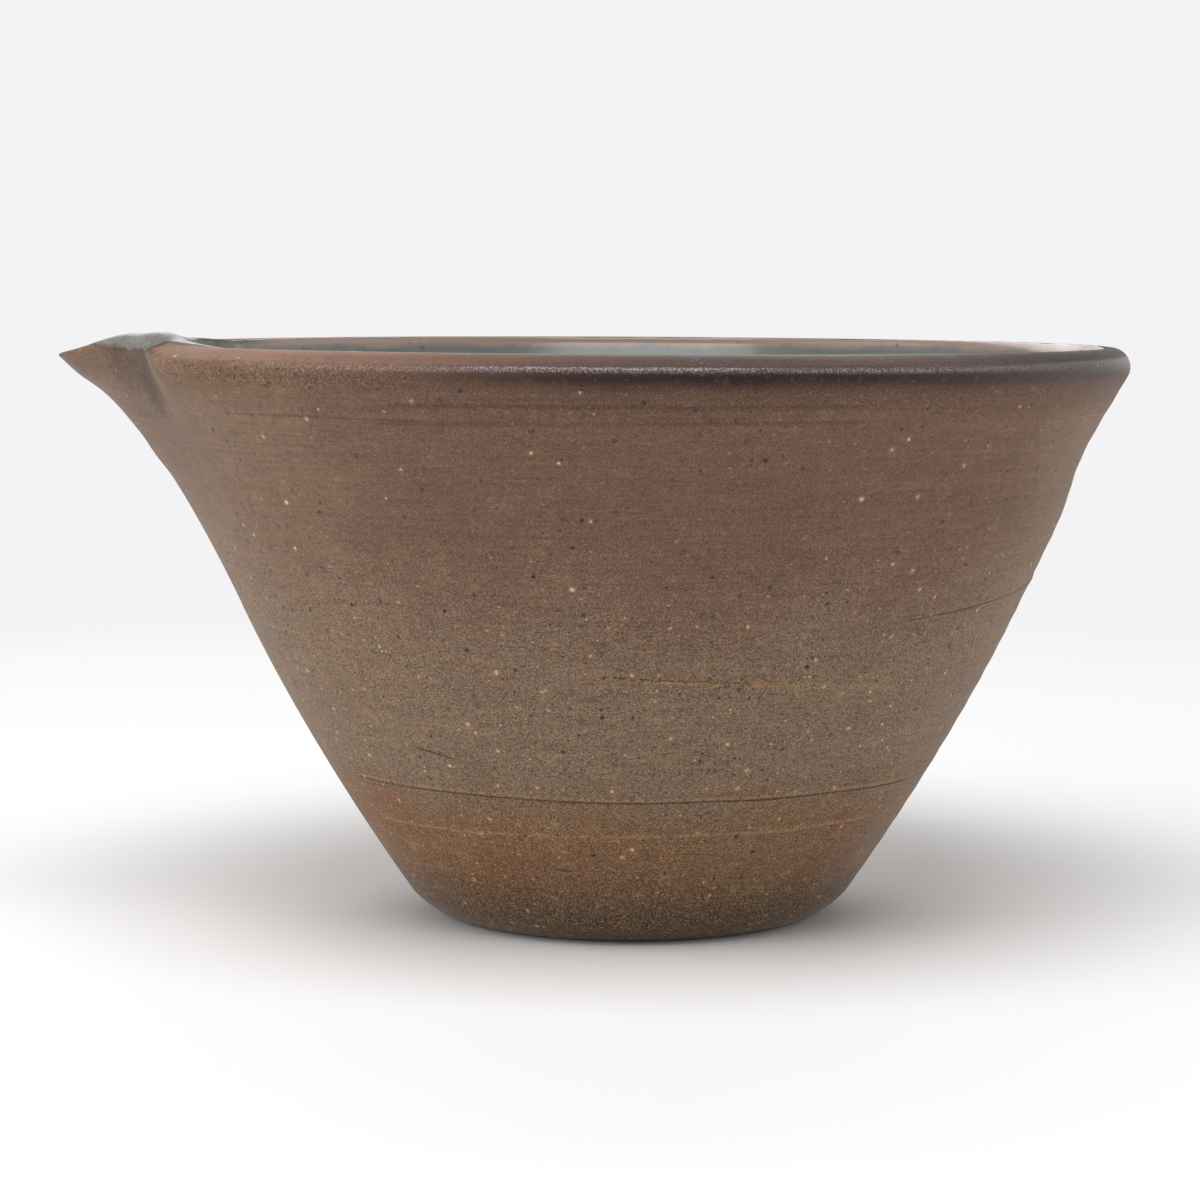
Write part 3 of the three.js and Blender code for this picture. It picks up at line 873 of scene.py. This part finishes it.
inner_legs = np.concatenate([*hollow_legs, np.linspace(8, 6, 60)])
to_edge = 1 - (1 - np.linspace(0, 1, 27)[1:]) ** 1.6
inner_rows = np.broadcast_to(inner_legs[:, None], (len(inner_legs), len(glaze_turn)))
glaze_legs = np.concatenate([inner_rows, 6 + (edge_leg - 6) * to_edge[:, None]])
clay_skin = clay_place(glaze_legs, glaze_turn)

# The coat is the clay's skin moved along its normals, the cross product of its two directions,
# turned so that one in the hollow points up. The thickness falls to nothing at the edge as the
# root of 1 - t^3, which leaves a rounded edge.
across = np.gradient(clay_skin, axis=1)
across[:, 0] = across[:, -1] = (clay_skin[:, 1] - clay_skin[:, -2]) / 2
normals = np.cross(np.gradient(clay_skin, axis=0), across)
lengths = np.linalg.norm(normals, axis=2, keepdims=True)
normals = normals / np.maximum(lengths, 1e-9)
normals *= np.sign(normals[20, 5, 2])
normals[lengths[..., 0] < 1e-9] = [0, 0, 1]
normals[0] = [0, 0, 1]
share = np.linspace(0, 1, len(to_edge) + 1)[1:]
past = np.clip((share - taper_start) / (1 - taper_start), 0, 1)
taper = np.concatenate([np.ones(len(inner_legs)), np.sqrt(1 - past**3)])[:, None]
at_tip = (1 - smoothstep(np.abs(signed), 3, 13)) * (1 - smoothstep(glaze_legs, 5.6, 6.6))
on_outside = 1 - smoothstep(glaze_legs, 4.3, 5)
depth = glaze_thickness * taper * (1 - 0.6 * at_tip) * (1 - 0.35 * on_outside)
glaze_air = clay_skin + normals * depth[..., None]
glaze_back = clay_skin - normals * glaze_sunk
glaze_back[-1] = glaze_air[-1]
glaze_grid = np.concatenate([glaze_back, glaze_air[::-1][1:]])
steps = np.linalg.norm(np.diff(clay_skin[::-1], axis=0), axis=2)
inwards = np.concatenate([np.zeros((1, len(glaze_turn))), np.cumsum(steps, axis=0)])[::-1]
grid_inwards = np.concatenate([inwards, inwards[::-1][1:]])
glaze_patch = (glaze_grid, grid_inwards)
solid_piece("glaze_coat", [glaze_patch], "glaze_lining", ash_glaze, "inwards")

# Table: a pale matt sheet. Further away it fades into the backdrop for the camera, as a curved
# paper sweep does, and keeps the bowl's shadow round the bowl.
backdrop = screen(243, 243, 245)
fade_start = 0.42
fade_end = 0.58
sheet = bpy.data.meshes.new("table")
sheet_corners = [(-3, -2.5, 0), (3, -2.5, 0), (3, 0.9, 0), (-3, 0.9, 0)]
sheet.from_pydata(sheet_corners, [], [(0, 1, 2, 3)])
table = bpy.data.objects.new("table", sheet)
bpy.context.scene.collection.objects.link(table)

matt_white = bpy.data.materials.new("matt_white")
matt_white.use_nodes = True
tree = matt_white.node_tree
shader = tree.nodes["Principled BSDF"]
shader.inputs["Base Color"].default_value = (0.95, 0.95, 0.955, 1)
shader.inputs["Roughness"].default_value = 0.95
shader.inputs["Specular IOR Level"].default_value = 0.1
metres = Wire(tree.nodes.new("ShaderNodeTexCoord").outputs["Object"])
length = add_node(tree, "ShaderNodeVectorMath", {0: metres}, operation="LENGTH")
faded = Wire(length.outputs["Value"]).step(fade_start, fade_end)
seen = Wire(tree.nodes.new("ShaderNodeLightPath").outputs["Is Camera Ray"])
glow = add_node(tree, "ShaderNodeEmission", {"Color": backdrop, "Strength": 1.0})
fade = add_node(tree, "ShaderNodeMixShader", {0: faded * seen})
tree.links.new(shader.outputs[0], fade.inputs[1])
tree.links.new(glow.outputs[0], fade.inputs[2])
tree.links.new(fade.outputs[0], tree.nodes["Material Output"].inputs["Surface"])
sheet.materials.append(matt_white)

# Studio: a dim room whose backdrop the camera and the glaze see as near white, one soft box above
# the front, a large one on each side and one above the back.
world = bpy.data.worlds.new("studio")
bpy.context.scene.world = world
world.use_nodes = True
tree = world.node_tree
room = tree.nodes["Background"]
room.inputs["Color"].default_value = (1, 1, 1, 1)
room.inputs["Strength"].default_value = 0.13
paper = add_node(tree, "ShaderNodeBackground", {"Color": backdrop, "Strength": 1.0})
rays = tree.nodes.new("ShaderNodeLightPath").outputs
camera_ray, glossy_ray = Wire(rays["Is Camera Ray"]), Wire(rays["Is Glossy Ray"])
seen = camera_ray + glossy_ray + Wire(rays["Is Transmission Ray"])
shown = add_node(tree, "ShaderNodeMixShader", {0: seen.share()})
tree.links.new(room.outputs[0], shown.inputs[1])
tree.links.new(paper.outputs[0], shown.inputs[2])
tree.links.new(shown.outputs[0], tree.nodes["World Output"].inputs["Surface"])

for name, place, width, depth, power in (
    ("key_box", (-0.06, -0.42, 1.08), 0.85, 0.8, 9.6),
    ("left_box", (-1.0, -0.28, 0.42), 1.4, 0.8, 6.3),
    ("right_box", (1.0, -0.2, 0.4), 1.4, 0.8, 3.7),
    ("back_box", (0.0, 1.0, 0.8), 1.4, 0.8, 5.8),
):
    box = bpy.data.lights.new(name, "AREA")
    box.shape = "RECTANGLE"
    box.size, box.size_y, box.energy = width, depth, power
    lamp = bpy.data.objects.new(name, box)
    lamp.location = place
    towards = Vector((0, 0, 0.05)) - Vector(place)
    lamp.rotation_euler = towards.to_track_quat("-Z", "Y").to_euler()
    bpy.context.scene.collection.objects.link(lamp)

# Camera, where the photograph was taken from: a little above the rim's level and 0.6 m away
lens = bpy.data.cameras.new("camera")
lens.lens = 98.76
camera = bpy.data.objects.new("camera", lens)
bpy.context.scene.collection.objects.link(camera)
camera.location = (-0.005422, -0.60063, 0.114621)
camera.rotation_euler = (math.radians(90 - 5.5046), 0, 0)
bpy.context.scene.camera = camera
bpy.context.scene.view_settings.view_transform = "Standard"
